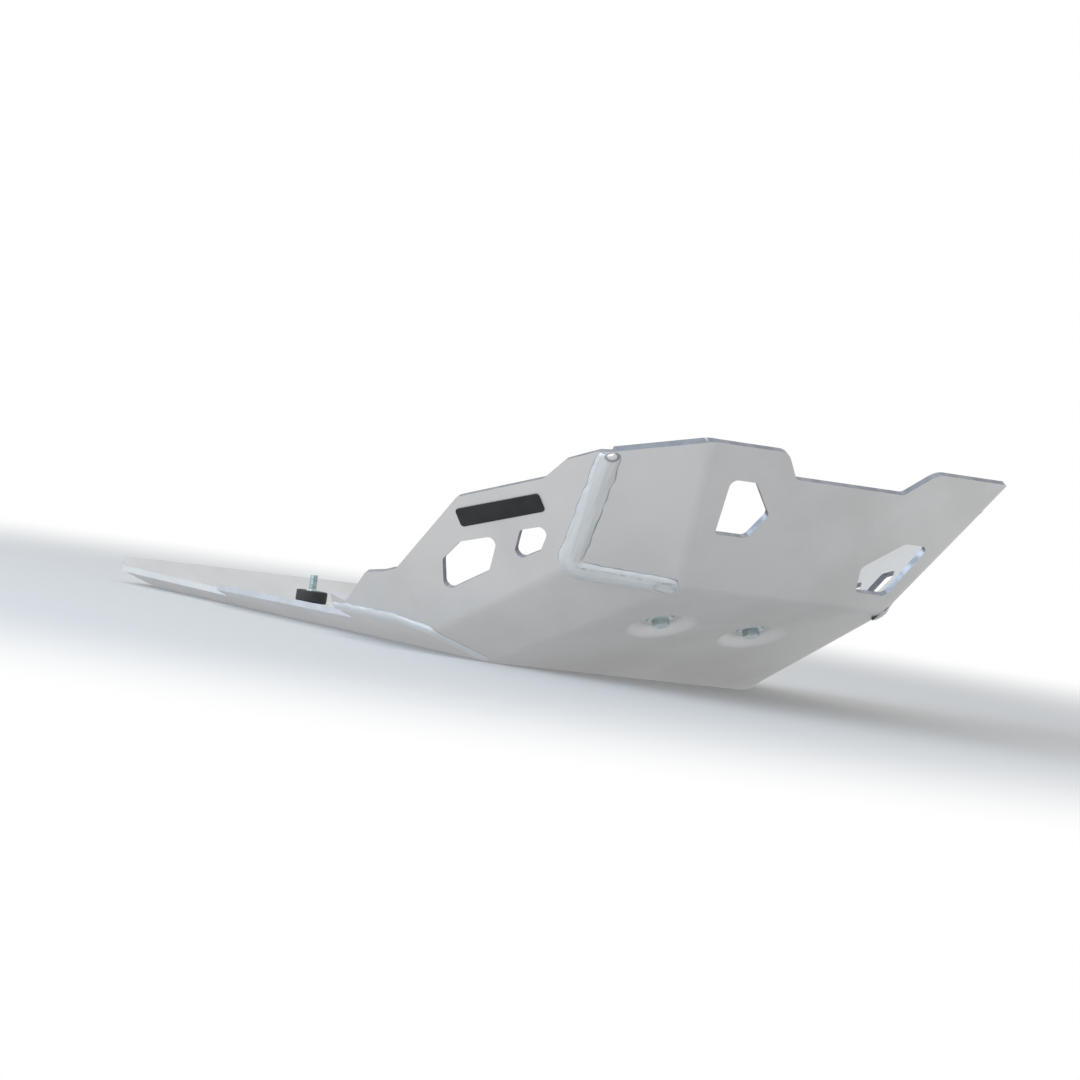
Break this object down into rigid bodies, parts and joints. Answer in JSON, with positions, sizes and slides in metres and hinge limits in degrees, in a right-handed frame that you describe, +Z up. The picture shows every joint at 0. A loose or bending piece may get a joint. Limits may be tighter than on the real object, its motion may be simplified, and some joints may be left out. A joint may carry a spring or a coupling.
{
  "type": "engine guard",
  "caption": "Folded aluminium belly guard for a motorbike engine, with a flat tray, a rising nose, welded corners, vents and recessed mounting bolts.",
  "frame": {"origin": "middle of the flat tray, on its lower face, which the guard rests on", "axes": "+X to the front of the bike, +Y to its left, +Z up"},
  "size_m": [0.6567, 0.3626, 0.1669],
  "materials": {
    "sheet": "matte, blasted",
    "weld": "satin, as welded",
    "nameplate": "matte anthracite",
    "zinc": "zinc plated",
    "damper": "matte"
  },
  "bodies": {
    "root": {"guard_plate": "sheet", "weld_front_right": "weld", "weld_front_left": "weld", "weld_rear_right": "weld", "weld_rear_left": "weld", "nameplate": "nameplate", "mount_bolts": "zinc", "mount_washers": "zinc", "spacer_sleeves": "zinc", "rubber_dampers": "damper"}
  },
  "joints": []
}
